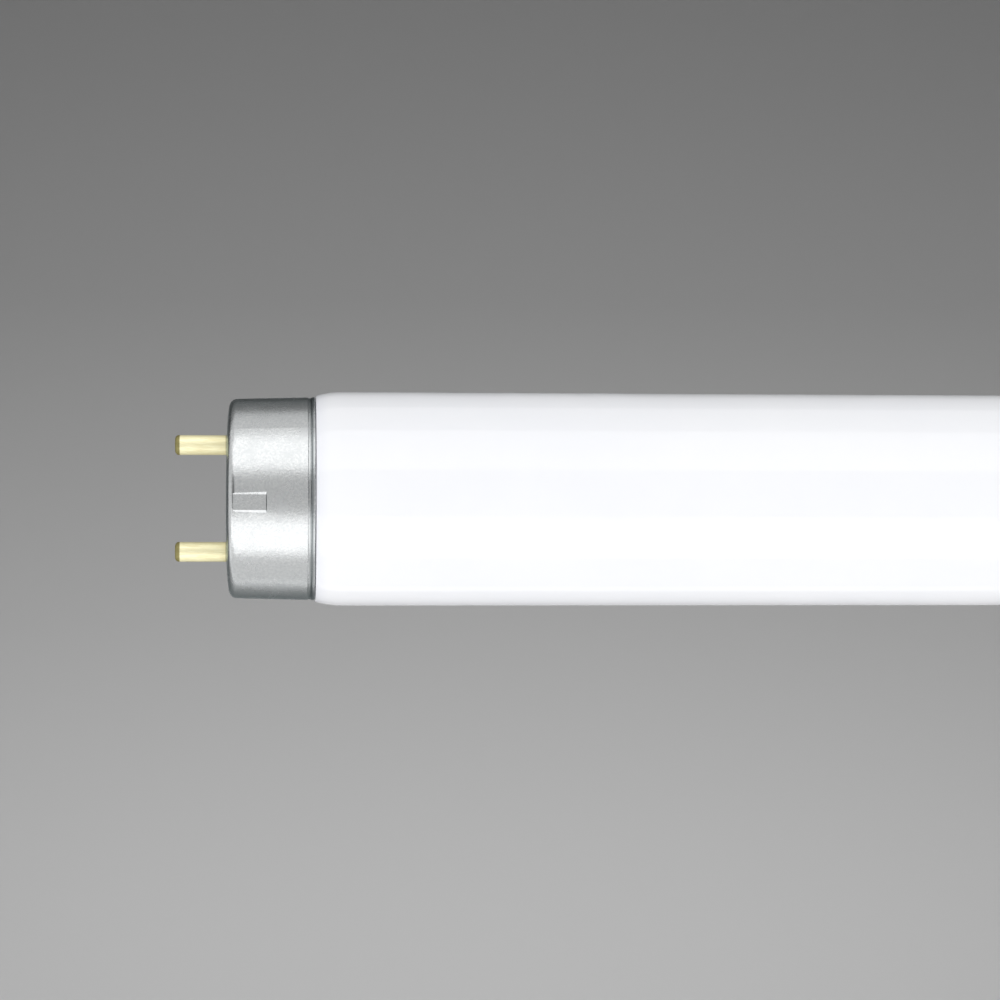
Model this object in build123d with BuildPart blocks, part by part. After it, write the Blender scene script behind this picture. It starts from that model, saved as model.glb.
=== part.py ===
from build123d import *
from math import radians, sqrt, tan
import os

# A straight fluorescent tube with a two-pin cap cemented on each end.
# It lies along X with its middle at the origin, and the pins of each cap stand in the XZ plane.
# Each piece of an end is drawn at the left end, where a depth is the distance inward from the flat
# of the cap's face. It is then turned about X for the lower pin and about Z for the right end.

# Lamp
face_to_face = 588.5            # from one cap's face to the other's
tube_diameter = 25.5
pin_spacing = 12.7

# Shoulder and neck of the glass
shoulder_drop = 0.45            # how far the shoulder curves in before the cap's mouth
shoulder_length = 3.25
shoulder_edge_round = 0.15
neck_length = 4.4               # from the seat behind the cap's mouth to the sealed rim
neck_root_round = 0.3
rim_width = 1.65                # tube and flare melted into one edge
rim_round = 0.8

# Stem sealed into each end of the glass
stem_diameter = 7.4
stem_length = 14.0              # from the rim to the pressed seal
flare_length = 8.0              # the outer stretch, which opens like a trumpet
press_round = 0.6
exhaust_diameter = 3.2
exhaust_length = 15.2           # from the pressed seal to the melted tip

# Drawn aluminium cap
cap_length = 10.4
cap_wall = 0.3
mouth_step = 0.2                # the glass stands this far outside the cap's mouth
mouth_gap = 0.05
cap_draft = 0.25                # the wall closes in by this from mouth to face
cap_corner_round = 1.0
crown_width = 3.0               # band inside the corner where the face falls away
crown_drop = 0.4
crease_to_mouth = 0.65          # rolled crease that leaves a narrow lip
crease_depth = 0.12
crease_wheel = 0.35             # edge radius of the wheel that rolls it
lip_round = 0.12

# Window round the pins, with its edge turned inward
window_margin = 1.9             # bare insulator round each pin
window_turn = 0.11              # how far its edge turns in behind the sheet
window_edge_round = 0.2

# Two index dents, halfway between the pins, that also lock the insulator
dent_start = 0.8
dent_length = 3.95
dent_width = 2.5
dent_depth = 0.2
dent_side_lean = 60             # degrees that its long sides lean outward
dent_end_lean = 25

# Moulded insulator
insulator_floor = 2.6
skirt_wall = 1.0
skirt_draft = 0.15
skirt_to_rim = 0.6              # air between the skirt and the rim of the glass
skirt_root_round = 0.5
pin_boss_wall = 1.3
pin_boss_height = 0.8

# Hollow brass pin, riveted through the insulator
pin_diameter = 2.35
pin_reach = 6.15                # beyond the cap's face
pin_tip_round = 0.45
pin_tip_wall = 0.45
pin_tip_hole = 0.9
pin_bore = 1.2
tenon_diameter = 1.9            # the thinner shank inside the insulator
collar_width = 0.5
collar_height = 0.4
rivet_width = 0.7
rivet_height = 0.35
rivet_round = 0.2
bore_funnel = 0.2               # opens the bore where the wire goes in

# Lead wire and the solder that holds it in the pin
wire_diameter = 0.5
wire_in_glass = 2.0
wire_bend = 4.0
wire_past_throat = 1.4          # straight run outside the flare's throat
wire_past_rim = 0.4             # in line with the pin this far outside the rim
wire_to_tip = 0.4               # the cut end stays this far inside the pin's tip
solder_length = 1.3

# Cement between the cap and the neck
cement_thickness = 0.55
cement_to_mouth = 1.3
cement_length = 2.0

# Clearances
seat_clearance = 0.02           # between pieces that bear on each other
pin_clearance = 0.03            # between a pin and its hole

# Radii and depths that follow
tube_radius = tube_diameter / 2
shoulder_radius = tube_radius - shoulder_drop
mouth_radius = shoulder_radius - mouth_step
face_radius = mouth_radius - cap_draft
crown_start = face_radius - cap_corner_round - crown_width
neck_radius = mouth_radius - cap_wall - cement_thickness
flare_radius = neck_radius - rim_width
stem_radius = stem_diameter / 2
exhaust_radius = exhaust_diameter / 2
pin_radius = pin_diameter / 2
wire_radius = wire_diameter / 2
seat_depth = cap_length + mouth_gap
rim_depth = seat_depth - neck_length
throat_depth = rim_depth + flare_length
press_depth = rim_depth + stem_length
exhaust_tip_depth = press_depth - exhaust_length
boss_top_depth = cap_wall + seat_clearance + insulator_floor + pin_boss_height
skirt_depth = rim_depth - skirt_to_rim

# Planes and axes of the left end
face_x = -face_to_face / 2
pin_height = pin_spacing / 2
window_reach = pin_height + pin_radius + window_margin
lead_height = (exhaust_radius + stem_radius) / 2    # a lead leaves the glass midway across the recess
end_section = Plane(origin=(face_x, 0, 0), x_dir=(1, 0, 0), z_dir=(0, -1, 0))
blank_section = end_section.rotated((45, 0, 0))     # its seam misses the window and the dents
pin_section = Plane(origin=(face_x, 0, pin_height), x_dir=(1, 0, 0), z_dir=(0, -1, 0))
lamp_axis = Axis.X
pin_axis = Axis(pin_section.origin, (1, 0, 0))


def across(depth):
    """The plane across the left end at a depth behind the face, facing inward."""
    return Plane.YZ.offset(face_x + depth)


def wall_radius(depth):
    """The cap's outer radius at a depth, on its drafted wall."""
    return mouth_radius - cap_draft * (1 - depth / cap_length)


def crown_fall(radius):
    """How far the crown has fallen away from the face at a radius, along its arc."""
    run = cap_corner_round + crown_width
    bend = (run**2 + crown_drop**2) / (2 * crown_drop)
    return bend - sqrt(bend**2 - max(radius - crown_start, 0) ** 2)


def round_corner(sketch, spot, radius):
    """Round the corner of a sketch nearest to a spot."""
    fillet(sketch.vertices().sort_by_distance(spot)[0], radius)


def cap_blank(inset, depth):
    """The cap's outside with every face set in by an inset, filled in as far as a depth."""
    corner = (crown_drop + inset, face_radius - inset)
    with BuildPart() as blank:
        with BuildSketch(blank_section) as half:
            with BuildLine():
                front = Line((inset, 0), (inset, crown_start))
                crown = TangentArc(front @ 1, corner, tangent=(0, 1))
                Polyline(crown @ 1, (depth, wall_radius(depth) - inset), (depth, 0), front @ 0)
            make_face()
            round_corner(half, corner, cap_corner_round - inset)
        revolve(axis=lamp_axis)
    return blank.part


def crease_ring(inset):
    """The ring that a wheel sweeps when it rolls the crease, grown by an inset."""
    depth = cap_length - crease_to_mouth
    with BuildPart() as ring:
        with BuildSketch(end_section):
            with Locations((depth, wall_radius(depth) + crease_wheel - crease_depth)):
                Circle(crease_wheel + inset)
        revolve(axis=lamp_axis)
    return ring.part


def die_side(plane, floor, half_floor, lean, height, reach):
    """One view of a die: a trapezoid that widens outward from its floor, drawn on a plane with the
    floor's distance first, and thickened both ways."""
    half_top = half_floor + height * tan(radians(lean))
    with BuildPart() as block:
        with BuildSketch(plane):
            with BuildLine():
                Polyline(
                    (floor, -half_floor),
                    (floor, half_floor),
                    (floor + height, half_top),
                    (floor + height, -half_top),
                    close=True,
                )
            make_face()
        extrude(amount=reach, both=True)
    return block.part


def dent_dies(inset):
    """The blunt dies that press the two index dents, sunk and grown by an inset."""
    middle = dent_start + dent_length / 2
    floor = wall_radius(middle) - dent_depth - inset
    height = 2 * (dent_depth + inset)       # well clear of the wall that it presses
    half_width = (dent_width + inset) / 2 - dent_depth * tan(radians(dent_side_lean))
    half_length = (dent_length + inset) / 2 - dent_depth * tan(radians(dent_end_lean))
    lengthwise = Plane((face_x + middle, 0, 0), x_dir=(0, 1, 0), z_dir=(0, 0, -1))
    with BuildPart() as dies:
        add(die_side(across(middle), floor, half_width, dent_side_lean, height, dent_length))
        add(
            die_side(lengthwise, floor, half_length, dent_end_lean, height, dent_length),
            mode=Mode.INTERSECT,
        )
        mirror(about=Plane.XZ)
    return dies.part


def window_slot(margin, start, stop):
    """A round-ended bar across both pins, with a margin round each, from one depth to another."""
    with BuildPart() as slot:
        with BuildSketch(across(start)):
            SlotCenterToCenter(pin_spacing, 2 * (pin_radius + margin), rotation=90)
        extrude(amount=stop - start)
    return slot.part


# The insulator's face in the window, behind the sheet even where the crown has fallen most
window_depth = crown_fall(window_reach) + cap_wall + window_turn

# Glass: one tube, drawn in at both ends, with a stem melted into each end
with BuildPart() as glass:
    with BuildSketch(end_section) as half:
        with BuildLine():
            middle = face_to_face / 2
            shoulder_end = (seat_depth + shoulder_length, tube_radius)
            side = Line((middle, tube_radius), shoulder_end)
            shoulder = TangentArc(side @ 1, (seat_depth, shoulder_radius), tangent=(-1, 0))
            rim_start = (rim_depth + rim_round, neck_radius)
            neck = Polyline(shoulder @ 1, (seat_depth, neck_radius), rim_start)
            rim_top = (rim_depth, (neck_radius + flare_radius) / 2)
            rim = ThreePointArc(neck @ 1, rim_top, (rim_depth + rim_round, flare_radius))
            flare = TangentArc((throat_depth, stem_radius), rim @ 1, tangent=(-1, 0))
            tip_start = (exhaust_tip_depth + exhaust_radius, exhaust_radius)
            stem = Polyline(flare @ 0, (press_depth, stem_radius), (press_depth, exhaust_radius), tip_start)
            tip = RadiusArc(stem @ 1, (exhaust_tip_depth, 0), -exhaust_radius)
            mirror(about=Plane.YZ.offset(middle))
            Line(tip @ 1, (face_to_face - exhaust_tip_depth, 0))
        make_face()
        for depth in (seat_depth, face_to_face - seat_depth):
            round_corner(half, (depth, neck_radius), neck_root_round)
            round_corner(half, (depth, shoulder_radius), shoulder_edge_round)
        for depth in (press_depth, face_to_face - press_depth):
            round_corner(half, (depth, stem_radius), press_round)
            round_corner(half, (depth, exhaust_radius), press_round)
    revolve(axis=lamp_axis)
    for press, way in ((across(press_depth), 1), (across(face_to_face - press_depth), -1)):
        with BuildSketch(press):
            with Locations((0, lead_height), (0, -lead_height)):
                Circle(wire_radius + seat_clearance)
        extrude(amount=way * wire_in_glass, mode=Mode.SUBTRACT)

# Cap shell: an aluminium cup drawn from sheet, pierced for the pins, dented and creased
with BuildPart() as hollow:
    add(cap_blank(cap_wall, cap_length))
    add(crease_ring(cap_wall), mode=Mode.SUBTRACT)
    add(dent_dies(cap_wall), mode=Mode.SUBTRACT)
    add(window_slot(window_margin + cap_wall, 0, window_depth - seat_clearance), mode=Mode.SUBTRACT)

with BuildPart() as cap_shell:
    add(cap_blank(0, cap_length))
    add(hollow.part, mode=Mode.SUBTRACT)
    add(crease_ring(0), mode=Mode.SUBTRACT)
    add(dent_dies(0), mode=Mode.SUBTRACT)
    add(window_slot(window_margin, 0, window_depth), mode=Mode.SUBTRACT)
    pierced = cap_shell.faces(Select.LAST)
    window_walls = pierced.filter_by(Axis.Y) + pierced.filter_by(GeomType.CYLINDER)
    window_edges = window_walls.edges().filter_by(Axis.X, reverse=True)
    sheet_inside = face_x + window_depth - window_turn
    fillet(window_edges.filter_by_position(Axis.X, face_x, sheet_inside), window_edge_round)
    mouth_edges = cap_shell.faces().filter_by(Axis.X).sort_by(Axis.X)[-1].edges()
    fillet(mouth_edges.sort_by(SortBy.LENGTH)[-1], lip_round)

# Insulator: a moulded cup that fills the end of the cap and carries both pins
with BuildPart() as insulator:
    inset = cap_wall + seat_clearance
    add(cap_blank(inset, skirt_depth))
    add(dent_dies(inset), mode=Mode.SUBTRACT)
    add(window_slot(window_margin + inset, 0, window_depth), mode=Mode.SUBTRACT)
    with BuildSketch(end_section) as cup:
        floor_depth = inset + insulator_floor
        mouth = wall_radius(skirt_depth) - inset - skirt_wall
        with BuildLine():
            Polyline(
                (floor_depth, 0),
                (floor_depth, mouth - skirt_draft),
                (skirt_depth, mouth),
                (skirt_depth, 0),
                close=True,
            )
        make_face()
        round_corner(cup, (floor_depth, mouth - skirt_draft), skirt_root_round)
    revolve(axis=lamp_axis, mode=Mode.SUBTRACT)
    with BuildSketch(across(floor_depth)):
        with Locations((0, pin_height), (0, -pin_height)):
            Circle(tenon_diameter / 2 + pin_boss_wall)
    extrude(amount=pin_boss_height)
    with BuildSketch(across(0)):
        with Locations((0, pin_height), (0, -pin_height)):
            Circle(tenon_diameter / 2 + pin_clearance)
    extrude(amount=boss_top_depth, mode=Mode.SUBTRACT)

# Pin: a hollow brass rivet with a collar outside the insulator and a rolled head inside
with BuildPart() as pin:
    tip_depth = -pin_reach
    bore_radius = pin_bore / 2
    tenon_radius = tenon_diameter / 2
    rivet_radius = tenon_radius + rivet_width
    collar_depth = window_depth - collar_height
    rivet_end = boss_top_depth + rivet_height
    with BuildSketch(pin_section) as half:
        with BuildLine():
            Polyline(
                (tip_depth, pin_tip_hole / 2),
                (tip_depth, pin_radius),
                (collar_depth, pin_radius),
                (collar_depth, pin_radius + collar_width),
                (window_depth, pin_radius + collar_width),
                (window_depth, tenon_radius),
                (boss_top_depth, tenon_radius),
                (boss_top_depth, rivet_radius),
                (rivet_end, rivet_radius),
                (rivet_end, bore_radius + bore_funnel),
                (rivet_end - bore_funnel, bore_radius),
                (tip_depth + pin_tip_wall, bore_radius),
                (tip_depth + pin_tip_wall, pin_tip_hole / 2),
                close=True,
            )
        make_face()
        round_corner(half, (tip_depth, pin_radius), pin_tip_round)
        round_corner(half, (rivet_end, rivet_radius), rivet_round)
    revolve(axis=pin_axis)

# Solder: fills the tip of the pin round the cut end of the wire
with BuildPart() as solder:
    with BuildSketch(pin_section):
        plug = bore_radius - seat_clearance
        neck = pin_tip_hole / 2 - seat_clearance
        shelf = tip_depth + pin_tip_wall + seat_clearance
        wire_end = tip_depth + wire_to_tip
        with BuildLine():
            Polyline(
                (tip_depth, 0),
                (tip_depth, neck),
                (shelf, neck),
                (shelf, plug),
                (tip_depth + solder_length, plug),
                (tip_depth + solder_length, wire_radius + seat_clearance),
                (wire_end - seat_clearance, wire_radius + seat_clearance),
                (wire_end - seat_clearance, 0),
                close=True,
            )
        make_face()
    revolve(axis=pin_axis)

# Lead wire: from the pressed seal, out through the flare and along the pin
with BuildPart() as lead_wire:
    with BuildLine(end_section) as route:
        FilletPolyline(
            (press_depth + wire_in_glass - seat_clearance, lead_height),
            (throat_depth - wire_past_throat, lead_height),
            (rim_depth - wire_past_rim, pin_height),
            (wire_end, pin_height),
            radius=wire_bend,
        )
    with BuildSketch(Plane(origin=route.line @ 0, z_dir=route.line % 0)):
        Circle(wire_radius)
    sweep()

# Cement: the ring of baked paste that holds the cap on the neck
with BuildPart() as cement_ring:
    cement_end = cap_length - cement_to_mouth
    cement_start = cement_end - cement_length
    inset = cap_wall + seat_clearance
    with BuildSketch(end_section):
        with BuildLine():
            Polyline(
                (cement_start, neck_radius + seat_clearance),
                (cement_start, wall_radius(cement_start) - inset),
                (cement_end, wall_radius(cement_end) - inset),
                (cement_end, neck_radius + seat_clearance),
                close=True,
            )
        make_face()
    revolve(axis=lamp_axis)

# Every piece in its place: the pin's own pieces four times, the cap's other pieces twice
os.makedirs("parts", exist_ok=True)
glass.part.label = "sealed_glass_tube"
export_step(glass.part, "parts/sealed_glass_tube.step")
for end, end_turn in (("left", 0), ("right", 180)):
    for name, piece in (("cap_shell", cap_shell), ("insulator", insulator), ("cement_ring", cement_ring)):
        placed = piece.part.rotate(Axis.Z, end_turn)
        placed.label = f"{end}_{name}"
        export_step(placed, f"parts/{placed.label}.step")
    for row, row_turn in (("upper", 0), ("lower", 180)):
        for name, piece in (("pin", pin), ("solder", solder), ("lead_wire", lead_wire)):
            placed = piece.part.rotate(Axis.X, row_turn).rotate(Axis.Z, end_turn)
            placed.label = f"{end}_{row}_{name}"
            export_step(placed, f"parts/{placed.label}.step")
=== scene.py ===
from math import cos, pi, radians, sin, tan

import bpy
import numpy as np
from mathutils import Matrix, Quaternion, Vector


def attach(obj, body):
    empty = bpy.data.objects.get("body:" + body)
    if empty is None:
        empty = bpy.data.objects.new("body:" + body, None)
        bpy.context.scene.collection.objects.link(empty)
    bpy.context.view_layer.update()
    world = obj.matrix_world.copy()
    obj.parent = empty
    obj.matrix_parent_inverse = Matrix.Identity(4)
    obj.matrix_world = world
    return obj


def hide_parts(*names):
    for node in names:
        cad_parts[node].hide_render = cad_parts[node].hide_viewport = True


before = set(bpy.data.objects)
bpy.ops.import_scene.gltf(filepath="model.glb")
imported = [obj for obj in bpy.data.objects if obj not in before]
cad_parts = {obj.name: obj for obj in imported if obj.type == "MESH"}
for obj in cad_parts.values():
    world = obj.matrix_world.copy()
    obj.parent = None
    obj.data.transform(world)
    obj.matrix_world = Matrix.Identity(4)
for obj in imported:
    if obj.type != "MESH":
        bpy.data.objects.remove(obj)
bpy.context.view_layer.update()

# Camera: it stands in front of the left cap, 330 mm from the tube's axis and 2 degrees above it,
# and is turned 4.5 degrees along the tube, so that the tube runs out of the picture on the right.
camera_distance = 0.330
camera_along = -0.28790
camera_aim = (-0.26168, 0, -0.0001)
camera_lift = radians(1.997)
camera_roll = radians(0.289)
camera_lens_mm = 99.36
camera_sensor_mm = 36.0

camera_data = bpy.data.cameras.new("camera")
camera_data.lens = camera_lens_mm
camera_data.sensor_width = camera_sensor_mm
camera = bpy.data.objects.new("camera", camera_data)
bpy.context.collection.objects.link(camera)
camera.location = (camera_along, -camera_distance * cos(camera_lift), camera_distance * sin(camera_lift))
sight = Vector(camera_aim) - camera.location
camera.rotation_mode = "QUATERNION"
camera.rotation_quaternion = sight.to_track_quat("-Z", "Y") @ Quaternion((0, 0, 1), camera_roll)
bpy.context.scene.camera = camera
bpy.context.scene.view_settings.view_transform = "Standard"

# Floor and backdrop: one seamless sweep of pale painted board that rises all round the tube.
# Its colour carries painted shade: lightest on the floor and darker to a mid grey up the wall, for light
# falling off.
floor_drop = 0.9                # from the tube's axis down to the floor
floor_radius = 3.0
cove_radius = 1.5
wall_height = 3.4
floor_rings = 25
cove_rings = 48
wall_rings = 8
sweep_around = 180
tone_top = 1.6                  # the paint's tones are set on a scale from the floor to this level
painted_falloff_tones = ((-0.9, 0.695), (-0.34, 0.482), (0.19, 0.338), (0.7, 0.284))      # level, tone


def new_object(name, points, faces):
    """A mesh object from an array of points and a list of arrays of faces, with every face smooth."""
    mesh = bpy.data.meshes.new(name)
    mesh.from_pydata(points.tolist(), [], [face for block in faces for face in block.tolist()])
    mesh.polygons.foreach_set("use_smooth", np.ones(len(mesh.polygons), dtype=bool))
    mesh.update()
    piece = bpy.data.objects.new(name, mesh)
    bpy.context.collection.objects.link(piece)
    return piece


def turned(name, along, radius, around, axis):
    """A surface of revolution: each point of the profile (along, radius) goes round the axis as
    radius times the cosine and sine of the turn. Where the radius is 0 the surface closes in one point."""
    along, radius = np.asarray(along, dtype=float), np.asarray(radius, dtype=float)
    turn = np.linspace(0, 2 * pi, around, endpoint=False)
    first = 1 if radius[0] == 0 else 0
    last = len(radius) - 1 if radius[-1] == 0 else len(radius)
    rows = last - first
    ring = np.stack([
        np.repeat(along[first:last, None], around, axis=1),
        radius[first:last, None] * np.cos(turn)[None, :],
        radius[first:last, None] * np.sin(turn)[None, :],
    ], axis=-1).reshape(-1, 3)
    here = np.arange(rows * around).reshape(rows, around)
    beside = np.roll(here, -1, axis=1)
    faces = [np.stack([here[:-1], beside[:-1], beside[1:], here[1:]], axis=-1).reshape(-1, 4)]
    tips = []
    if first:
        tips.append([along[0], 0, 0])
        tip = np.full(around, rows * around)
        faces.append(np.stack([tip, beside[0], here[0]], axis=-1))
    if last < len(radius):
        tips.append([along[-1], 0, 0])
        tip = np.full(around, rows * around + len(tips) - 1)
        faces.append(np.stack([tip, here[-1], beside[-1]], axis=-1))
    points = np.concatenate([ring, np.array(tips).reshape(-1, 3)])
    if axis == "Z":
        points = points[:, [1, 2, 0]]
    return new_object(name, points, faces)


def new_node(tree, kind, **settings):
    """A shader node with its settings: a name that is one of its sockets sets that socket."""
    made = tree.nodes.new(kind)
    for name, value in settings.items():
        socket = name.replace("_", " ")
        if socket in made.inputs:
            made.inputs[socket].default_value = value
        else:
            setattr(made, name, value)
    return made


def new_finish(name, **settings):
    """A material with one Principled shader, its plain settings, and the object's own coordinates."""
    finish = bpy.data.materials.new(name)
    finish.use_nodes = True
    tree = finish.node_tree
    tree.nodes.clear()
    shader = new_node(tree, "ShaderNodeBsdfPrincipled", **settings)
    output = new_node(tree, "ShaderNodeOutputMaterial")
    tree.links.new(shader.outputs["BSDF"], output.inputs["Surface"])
    place = new_node(tree, "ShaderNodeTexCoord").outputs["Object"]
    return finish, tree, shader, place


# The profile from the middle outwards: a flat floor, a quarter circle and a straight wall.
cove_turn = np.linspace(0, pi / 2, cove_rings + 1)[1:]
sweep_out = np.concatenate([
    np.linspace(0, floor_radius, floor_rings),
    floor_radius + cove_radius * np.sin(cove_turn),
    np.full(wall_rings, floor_radius + cove_radius),
])
sweep_up = np.concatenate([
    np.zeros(floor_rings),
    cove_radius * (1 - np.cos(cove_turn)),
    np.linspace(cove_radius, wall_height, wall_rings + 1)[1:],
]) - floor_drop
sweep = turned("sweep", sweep_up, sweep_out, sweep_around, "Z")

board, tree, shader, place = new_finish("painted board", Roughness=0.9, Specular_IOR_Level=0.1)
level = new_node(tree, "ShaderNodeSeparateXYZ")
tree.links.new(place, level.inputs["Vector"])
rise = new_node(tree, "ShaderNodeMapRange", From_Min=-floor_drop, From_Max=tone_top)
tree.links.new(level.outputs["Z"], rise.inputs["Value"])
# Painted shade: the board's colour darkens with height, standing in for the light falling off up the wall.
shade = new_node(tree, "ShaderNodeValToRGB")
stops = shade.color_ramp.elements
for number, (tone_level, tone) in enumerate(painted_falloff_tones):
    stop = stops[number] if number < len(stops) else stops.new(1.0)
    stop.position = (tone_level + floor_drop) / (tone_top + floor_drop)
    stop.color = (tone, tone, tone, 1)
tree.links.new(rise.outputs["Result"], shade.inputs["Fac"])
tree.links.new(shade.outputs["Color"], shader.inputs["Base Color"])
sweep.data.materials.append(board)

# Light: long soft panels in front of the tube, above it and below it, with a dimmer one at the
# camera's height, one beside the pins, and a lamp behind the tube that washes the foot of the wall.
panel_length = 3.2
soft_panels = (         # name, from and to in degrees above the camera's side, distance, radiance
    ("upper panel", 33, 81, 1.3, 1.53),
    ("high panel", 82, 118, 1.3, 0.60),
    ("level panel", -14, 31, 2.2, 0.64),
    ("lower panel", -64, -16, 0.75, 1.44),
    ("under panel", -104, -66, 0.75, 0.36),
    ("under strip", -115, -105, 0.75, 0.80),
)
side_distance = 1.5             # from the middle of the tube, out beyond the pins
side_width = 1.6
side_height = 2.4
side_radiance = 0.8
wash_place = (0.0, 2.2, 1.5)
wash_aim = (0.0, 3.9, -0.6)
wash_width = 2.4
wash_height = 0.8
wash_spread = radians(110)
wash_watts = 14
room_light = 0.24


def new_panel(name, place, aim, width, height, watts, spread=pi):
    """A flat lamp that the camera doesn't see, at a place and turned to its aim. Its width lies along
    the tube, or across it for a lamp off the tube's end, and its light leaves within the spread."""
    light = bpy.data.lights.new(name, "AREA")
    light.shape = "RECTANGLE"
    light.size = width
    light.size_y = height
    light.energy = watts
    light.spread = spread
    panel = bpy.data.objects.new(name, light)
    bpy.context.collection.objects.link(panel)
    panel.visible_camera = False
    outward = (Vector(place) - Vector(aim)).normalized()
    sideways = Vector((0, 1, 0)) if outward.x else Vector((1, 0, 0))
    panel.matrix_world = Matrix.Translation(place) @ Matrix(
        (sideways, outward.cross(sideways), outward)
    ).transposed().to_4x4()


def panel_watts(width, height, radiance):
    """The power of a panel of even light: pi times its area times its radiance."""
    return pi * width * height * radiance


for name, low, high, distance, radiance in soft_panels:
    breadth = 2 * distance * tan(radians(high - low) / 2)
    middle = radians(low + high) / 2
    spot = (0, -distance * cos(middle), distance * sin(middle))
    watts = panel_watts(panel_length, breadth, radiance)
    new_panel(name, spot, (0, 0, 0), panel_length, breadth, watts)
side_watts = panel_watts(side_width, side_height, side_radiance)
new_panel("side panel", (-side_distance, 0, 0), (0, 0, 0), side_width, side_height, side_watts)
new_panel("board wash", wash_place, wash_aim, wash_width, wash_height, wash_watts, wash_spread)

world = bpy.data.worlds.new("room")
world.use_nodes = True
world.node_tree.nodes["Background"].inputs["Color"].default_value = (1, 1, 1, 1)
world.node_tree.nodes["Background"].inputs["Strength"].default_value = room_light
bpy.context.scene.world = world

# Glass tube: one length of clear glass drawn in at both ends, coated inside with white powder.
# A stem is melted into each end, inside the cap, with its flare, its seal and its exhaust tip.
face_x = 0.29425                # from the middle of the tube to a cap's face
tube_radius = 0.01275
shoulder_drop = 0.00045
shoulder_length = 0.00325
shoulder_edge_round = 0.00015
shoulder_edge_stop = 100        # degrees, where the rounded edge meets the shoulder's curve
seat_depth = 0.01045            # depths are measured inward from the cap's face
neck_radius = 0.01125
neck_root_round = 0.0003
rim_depth = 0.00605
rim_round = 0.0008
flare_radius = 0.0096
throat_depth = 0.01405
stem_radius = 0.0037
press_depth = 0.02005
press_round = 0.0006
exhaust_radius = 0.0016
exhaust_tip_depth = 0.00485
glass_around = 288              # points round the tube, then points along each curve of its profile
tip_points = 13
round_points = 7
flare_points = 20
rim_points = 17
edge_points = 6
shoulder_points = 24
side_points = 16
coating_white = (0.848, 0.855, 0.88)
coating_thin = (0.825, 0.835, 0.868)
coating_end = (0.785, 0.797, 0.84)
coating_end_depth = 0.0113      # up to here, just beyond the cap's mouth, the coating is greyer
coating_end_soft = 0.0012
coating_roughness = (0.52, 0.68)
gloss_weight = (1.0, 0.82)      # clean, and under finger marks


def bow(start, end, points):
    """An arc from a start, which it leaves level with the axis, to an end: its rise is the bend
    radius less the square root of the radius squared less the run squared."""
    run, rise = end[0] - start[0], end[1] - start[1]
    bend = (run**2 + rise**2) / (2 * abs(rise))
    gone = np.linspace(0, 1, points) * run
    gained = np.sign(rise) * (bend - np.sqrt(bend**2 - gone**2))
    return np.stack([start[0] + gone, start[1] + gained], axis=-1)


def corner(centre, radius, start, end, points):
    """Part of a circle about a centre, from one angle to another in degrees."""
    turn = np.radians(np.linspace(start, end, points))
    return np.stack([centre[0] + radius * np.cos(turn), centre[1] + radius * np.sin(turn)], axis=-1)


shoulder_radius = tube_radius - shoulder_drop
shoulder = bow((seat_depth + shoulder_length, tube_radius), (seat_depth, shoulder_radius), shoulder_points)
shoulder_edge = (seat_depth + shoulder_edge_round, shoulder_radius - shoulder_edge_round)
rim_width = neck_radius - flare_radius
rim_middle = (rim_depth + rim_round, (neck_radius + flare_radius) / 2)
rim_turn = np.radians(np.linspace(270, 90, rim_points))
neck_root = (seat_depth - neck_root_round, neck_radius + neck_root_round)
exhaust_root = (press_depth - press_round, exhaust_radius + press_round)
press_edge = (press_depth - press_round, stem_radius - press_round)

# The end's profile, from the exhaust tip round the stem, the rim and the neck to the tube's side.
glass_end = np.concatenate([
    corner((exhaust_tip_depth + exhaust_radius, 0), exhaust_radius, 180, 90, tip_points),
    corner(exhaust_root, press_round, 270, 360, round_points),
    corner(press_edge, press_round, 0, 90, round_points),
    bow((throat_depth, stem_radius), (rim_depth + rim_round, flare_radius), flare_points)[:-1],
    np.stack([
        rim_middle[0] + rim_round * np.cos(rim_turn),
        rim_middle[1] + rim_width / 2 * np.sin(rim_turn),
    ], axis=-1),
    corner(neck_root, neck_root_round, 270, 360, round_points),
    corner(shoulder_edge, shoulder_edge_round, 180, shoulder_edge_stop, edge_points),
    shoulder[::-1][2:],
])
glass_end[0, 1] = 0
side_depth = np.linspace(seat_depth + shoulder_length, face_x, side_points)[1:]
half_along = np.concatenate([glass_end[:, 0], side_depth]) - face_x
half_radius = np.concatenate([glass_end[:, 1], np.full(len(side_depth), tube_radius)])
tube = turned(
    "glass_tube",
    np.concatenate([half_along, -half_along[-2::-1]]),
    np.concatenate([half_radius, half_radius[-2::-1]]),
    glass_around,
    "X",
)


def new_group(name, inputs, output):
    """An empty node group with inputs of one value each, or of a vector where no value is given."""
    group = bpy.data.node_groups.new(name, "ShaderNodeTree")
    for socket, value in inputs:
        kind = "NodeSocketVector" if value is None else "NodeSocketFloat"
        made = group.interface.new_socket(name=socket, in_out="INPUT", socket_type=kind)
        if value is not None:
            made.default_value = value
    group.interface.new_socket(name=output, in_out="OUTPUT", socket_type="NodeSocketFloat")
    source = group.nodes.new("NodeGroupInput").outputs
    target = group.nodes.new("NodeGroupOutput").inputs
    return group, source, target


def place_group(tree, group, place, **settings):
    """The output of a node group set into a material with its own values, fed with coordinates."""
    made = new_node(tree, "ShaderNodeGroup", node_tree=group)
    for name, value in settings.items():
        made.inputs[name].default_value = value
    tree.links.new(place, made.inputs["Place"])
    return made.outputs[0]


def work_out(tree, operation, *terms, **settings):
    """Arithmetic on values that vary over the surface: each term is a plain figure or an output."""
    made = new_node(tree, "ShaderNodeMath", operation=operation, **settings)
    for socket, term in zip(made.inputs, terms):
        if isinstance(term, float):
            socket.default_value = term
        else:
            tree.links.new(term, socket)
    return made.outputs[0]


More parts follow.
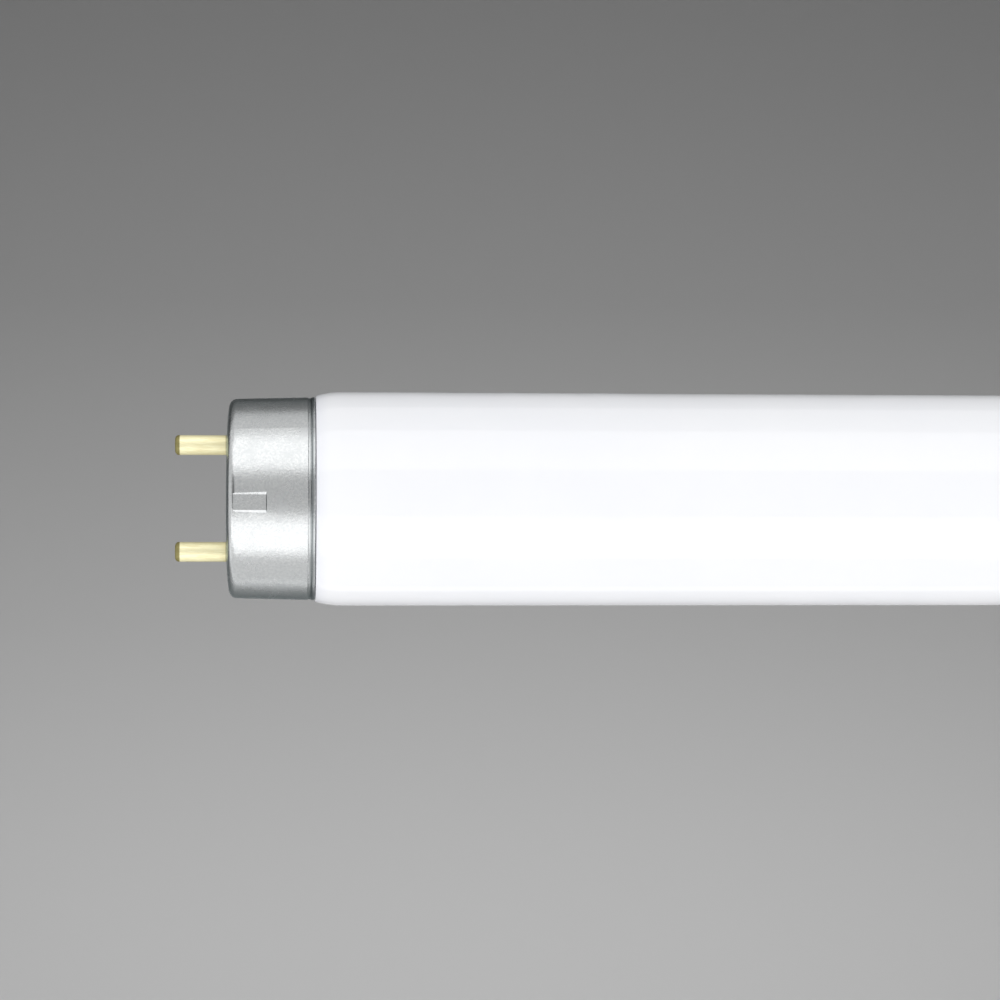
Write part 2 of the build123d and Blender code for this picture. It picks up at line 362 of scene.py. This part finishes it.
def blend_colour(tree, share, first, second):
    """A mix of two colours, each a value or an output, by a share that varies over the surface."""
    blend = new_node(tree, "ShaderNodeMix", data_type="RGBA")
    tree.links.new(share, blend.inputs["Factor"])
    for socket, colour in (("A", first), ("B", second)):
        if isinstance(colour, tuple):
            blend.inputs[socket].default_value = (*colour, 1)
        else:
            tree.links.new(colour, blend.inputs[socket])
    return blend.outputs["Result"]


def spread_value(tree, share, ends, socket):
    """Feeds a socket with a value that runs from one end to the other as the share goes from 0 to 1."""
    spread = new_node(tree, "ShaderNodeMapRange", To_Min=ends[0], To_Max=ends[1])
    tree.links.new(share, spread.inputs["Value"])
    tree.links.new(spread.outputs["Result"], socket)


# Grain: noise stretched to run from 0 to 1 within its sharpness either side of the middle, so
# that specks stand out.
noise_middle = 0.5
grain_group, source, target = new_group(
    "grain",
    (("Place", None), ("Scale", 3000.0), ("Sharpness", 0.2)),
    "Value",
)
noise = new_node(grain_group, "ShaderNodeTexNoise", Detail=3.0, Roughness=0.6)
grain_group.links.new(source["Place"], noise.inputs["Vector"])
grain_group.links.new(source["Scale"], noise.inputs["Scale"])
stretch = new_node(grain_group, "ShaderNodeMapRange", interpolation_type="SMOOTHSTEP")
grain_group.links.new(noise.outputs["Fac"], stretch.inputs["Value"])
for limit, operation in (("From Min", "SUBTRACT"), ("From Max", "ADD")):
    bound = work_out(grain_group, operation, noise_middle, source["Sharpness"])
    grain_group.links.new(bound, stretch.inputs[limit])
grain_group.links.new(stretch.outputs["Result"], target["Value"])

# Band: 1 between two depths behind the face of the nearer cap and 0 elsewhere. Each edge is the
# way past it over the softness, with a half added so that the edge lies in the middle of its ramp.
edge_middle = 0.5
band_group, source, target = new_group(
    "band",
    (("Place", None), ("Start", 0.0), ("Stop", 0.001), ("Soft", 0.0001)),
    "Mask",
)
along = new_node(band_group, "ShaderNodeSeparateXYZ")
band_group.links.new(source["Place"], along.inputs["Vector"])
from_middle = work_out(band_group, "ABSOLUTE", along.outputs["X"])
depth = work_out(band_group, "SUBTRACT", face_x, from_middle)
edges = []
for farther, nearer in ((depth, source["Start"]), (source["Stop"], depth)):
    past = work_out(band_group, "SUBTRACT", farther, nearer)
    ramp = work_out(band_group, "DIVIDE", past, source["Soft"])
    edges.append(work_out(band_group, "ADD", ramp, edge_middle, use_clamp=True))
band_group.links.new(work_out(band_group, "MULTIPLY", *edges), target["Mask"])

# Smudges: broad soft patches that hands and packing leave, with fine scuffs inside them.
smudge_group, source, target = new_group(
    "smudges",
    (("Place", None), ("Scale", 60.0), ("Amount", 0.5)),
    "Mask",
)
patch = new_node(smudge_group, "ShaderNodeTexNoise", Detail=5.0, Roughness=0.65, Distortion=0.6)
smudge_group.links.new(source["Place"], patch.inputs["Vector"])
smudge_group.links.new(source["Scale"], patch.inputs["Scale"])
patch_edge = new_node(smudge_group, "ShaderNodeMapRange", From_Min=0.48, From_Max=0.7)
smudge_group.links.new(patch.outputs["Fac"], patch_edge.inputs["Value"])
share = work_out(smudge_group, "MULTIPLY", patch_edge.outputs["Result"], source["Amount"])
smudge_group.links.new(share, target["Mask"])

coated_glass, tree, shader, place = new_finish(
    "coated glass",
    Coat_Weight=1.0,
    Coat_Roughness=0.03,
    Coat_IOR=1.5,
)
mottle = place_group(tree, grain_group, place, Scale=70.0, Sharpness=0.3)
powder = place_group(tree, grain_group, place, Scale=1800.0, Sharpness=0.3)
coat_marks = place_group(tree, smudge_group, place, Scale=45.0, Amount=1.0)
by_the_cap = place_group(tree, band_group, place, Start=0.0, Stop=coating_end_depth, Soft=coating_end_soft)
coating = blend_colour(tree, mottle, coating_white, coating_thin)
coating = blend_colour(tree, by_the_cap, coating, coating_end)
tree.links.new(coating, shader.inputs["Base Color"])
spread_value(tree, powder, coating_roughness, shader.inputs["Roughness"])
spread_value(tree, coat_marks, gloss_weight, shader.inputs["Coat Weight"])
tube.data.materials.append(coated_glass)
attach(tube, "root")
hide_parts("sealed_glass_tube")

# Cap shells: cups drawn from thin aluminium sheet, dull and a little grainy, with a rolled crease
# by the mouth and a pressed dent on the front and the back. Cement holds them on the glass.
crease_start = 0.00975          # painted shade darkens the crease between these depths
crease_stop = 0.0102
crease_soft = 0.00032
draw_start = 0.0007             # the drawing die leaves faint rings beyond the corner
draw_stop = 0.0022
draw_soft = 0.0006
draw_height = 2.0               # how much higher the rings stand than the grain
sheet_relief = (0.00002, 0.26)
sheet_roughness = (0.25, 0.36)
sheet_clean = (0.6, 0.61, 0.61)
sheet_dull = (0.515, 0.53, 0.535)
sheet_glance = (0.5, 0.57, 0.58)        # its tint where the surface turns away
crease_painted_shade = (0.22, 0.24, 0.245)


def stretched(tree, place, along, across):
    """The object's coordinates times one figure along the tube and another across it: a pattern is
    drawn out in the direction of the smaller figure."""
    scaled = new_node(tree, "ShaderNodeVectorMath", operation="MULTIPLY")
    scaled.inputs[1].default_value = (along, across, across)
    tree.links.new(place, scaled.inputs[0])
    return scaled.outputs[0]


def raise_relief(tree, share, relief, shader):
    """Relief of a depth in metres and a strength, which turns the shader's normal."""
    depth, strength = relief
    raised = new_node(tree, "ShaderNodeBump", Strength=strength, Distance=depth)
    tree.links.new(share, raised.inputs["Height"])
    tree.links.new(raised.outputs["Normal"], shader.inputs["Normal"])


def dress(finish, *pieces):
    """Puts a finish on the pieces of these names at both ends of the tube."""
    for end in ("left", "right"):
        for piece in pieces:
            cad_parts[f"{end}_{piece}"].material_slots[0].material = finish


cap_aluminium, tree, shader, place = new_finish(
    "drawn aluminium",
    Metallic=1.0,
    Specular_Tint=(*sheet_glance, 1),
)
grain = place_group(tree, grain_group, place, Scale=3600.0, Sharpness=0.22)
scuffs = place_group(tree, smudge_group, place, Scale=350.0, Amount=0.7)
crease = place_group(tree, band_group, place, Start=crease_start, Stop=crease_stop, Soft=crease_soft)
drawn = place_group(tree, band_group, place, Start=draw_start, Stop=draw_stop, Soft=draw_soft)
round_the_cap = stretched(tree, place, along=1, across=0.02)
rings = place_group(tree, grain_group, round_the_cap, Scale=2600.0, Sharpness=0.3)
faint_rings = work_out(tree, "MULTIPLY", rings, drawn)
sheet_height = work_out(tree, "MULTIPLY_ADD", faint_rings, draw_height, grain)
sheet = blend_colour(tree, grain, sheet_dull, sheet_clean)
sheet = blend_colour(tree, scuffs, sheet, sheet_dull)
# Painted shade: the crease by the mouth is darkened in the colour, standing in for the shade that falls in
# it.
sheet = blend_colour(tree, crease, sheet, crease_painted_shade)
tree.links.new(sheet, shader.inputs["Base Color"])
spread_value(tree, scuffs, sheet_roughness, shader.inputs["Roughness"])
raise_relief(tree, sheet_height, sheet_relief, shader)
dress(cap_aluminium, "cap_shell")

# Insulators: moulded cups in the ends of the caps, which carry the pins. Only the flat face in
# the window of the cap shows.
moulding_pale = (0.64, 0.62, 0.56)
moulding_speck = (0.58, 0.56, 0.5)
moulding_roughness = (0.42, 0.6)
moulding_relief = (0.00001, 0.3)
moulding, tree, shader, place = new_finish("insulator moulding")
specks = place_group(tree, grain_group, place, Scale=5200.0, Sharpness=0.2)
marks = place_group(tree, smudge_group, place, Scale=220.0, Amount=0.6)
body = blend_colour(tree, specks, moulding_speck, moulding_pale)
tree.links.new(blend_colour(tree, marks, body, moulding_speck), shader.inputs["Base Color"])
spread_value(tree, marks, moulding_roughness, shader.inputs["Roughness"])
raise_relief(tree, specks, moulding_relief, shader)
dress(moulding, "insulator")

# Pins: hollow brass rivets, drawn bright, with a rounded tip that solder fills. Their colour carries
# a painted dark reflection in a ring round the tip, and painted shade at the root in the cap's window.
tip_ring_start = -0.0070        # a depth below 0 is outside the cap's face
tip_ring_stop = -0.0056
tip_ring_soft = 0.00012
root_ring_start = -0.00012
root_ring_stop = 0.002
root_ring_soft = 0.0002
pin_bright = (0.97, 0.93, 0.66)
pin_streak = (0.9, 0.84, 0.56)
pin_glance = (0.5, 0.45, 0.25)
pin_painted_dark = (0.3, 0.27, 0.12)
pin_roughness = (0.66, 0.56)
pin_relief = (0.000012, 0.3)
pin_brass, tree, shader, place = new_finish("bright brass", Metallic=1.0, Specular_Tint=(*pin_glance, 1))
down_the_pin = stretched(tree, place, along=0.12, across=1)
streaks = place_group(tree, grain_group, down_the_pin, Scale=5200.0, Sharpness=0.25)
tip_ring = place_group(
    tree, band_group, place, Start=tip_ring_start, Stop=tip_ring_stop, Soft=tip_ring_soft
)
root_ring = place_group(
    tree, band_group, place, Start=root_ring_start, Stop=root_ring_stop, Soft=root_ring_soft
)
metal = blend_colour(tree, streaks, pin_streak, pin_bright)
# Painted dark reflection round the tip and painted shade at the root, darkening the pin's colour.
metal = blend_colour(tree, tip_ring, metal, pin_painted_dark)
metal = blend_colour(tree, root_ring, metal, pin_painted_dark)
tree.links.new(metal, shader.inputs["Base Color"])
spread_value(tree, streaks, pin_roughness, shader.inputs["Roughness"])
raise_relief(tree, streaks, pin_relief, shader)
dress(pin_brass, "upper_pin", "lower_pin")

# Solder: a plug of tin alloy that closes each pin's tip round the wire, bright but puckered.
# It is melted into the tip once the cap is on the glass.
solder_bright = (0.72, 0.71, 0.69)
solder_grey = (0.48, 0.47, 0.45)
solder_roughness = (0.42, 0.24)
solder_relief = (0.00004, 0.5)
solder, tree, shader, place = new_finish("tin solder", Metallic=1.0)
puckers = place_group(tree, grain_group, place, Scale=2600.0, Sharpness=0.25)
tree.links.new(blend_colour(tree, puckers, solder_grey, solder_bright), shader.inputs["Base Color"])
spread_value(tree, puckers, solder_roughness, shader.inputs["Roughness"])
raise_relief(tree, puckers, solder_relief, shader)
dress(solder, "upper_solder", "lower_solder")

# Lead wires: plated wires from the seal in the glass to the solder, with faint draw streaks. They
# are out of sight inside the cap and the pin.
wire_plated = (0.66, 0.62, 0.56)
wire_worn = (0.6, 0.4, 0.27)
wire_roughness = (0.28, 0.4)
lead_wire, tree, shader, place = new_finish("plated wire", Metallic=1.0)
wear = place_group(tree, smudge_group, place, Scale=400.0, Amount=0.8)
draw_marks = place_group(tree, grain_group, place, Scale=6000.0, Sharpness=0.3)
tree.links.new(blend_colour(tree, wear, wire_plated, wire_worn), shader.inputs["Base Color"])
spread_value(tree, draw_marks, wire_roughness, shader.inputs["Roughness"])
dress(lead_wire, "upper_lead_wire", "lower_lead_wire")

# Cement: a ring of buff paste between each cap and the neck of the glass, baked hard to hold the
# cap. It is out of sight too.
cement_buff = (0.62, 0.5, 0.33)
cement_dark = (0.45, 0.34, 0.21)
cement_roughness = (0.95, 0.8)
cement_relief = (0.00005, 0.6)
cement, tree, shader, place = new_finish("baked cement")
crumbs = place_group(tree, grain_group, place, Scale=1500.0, Sharpness=0.2)
tree.links.new(blend_colour(tree, crumbs, cement_dark, cement_buff), shader.inputs["Base Color"])
spread_value(tree, crumbs, cement_roughness, shader.inputs["Roughness"])
raise_relief(tree, crumbs, cement_relief, shader)
dress(cement, "cement_ring")
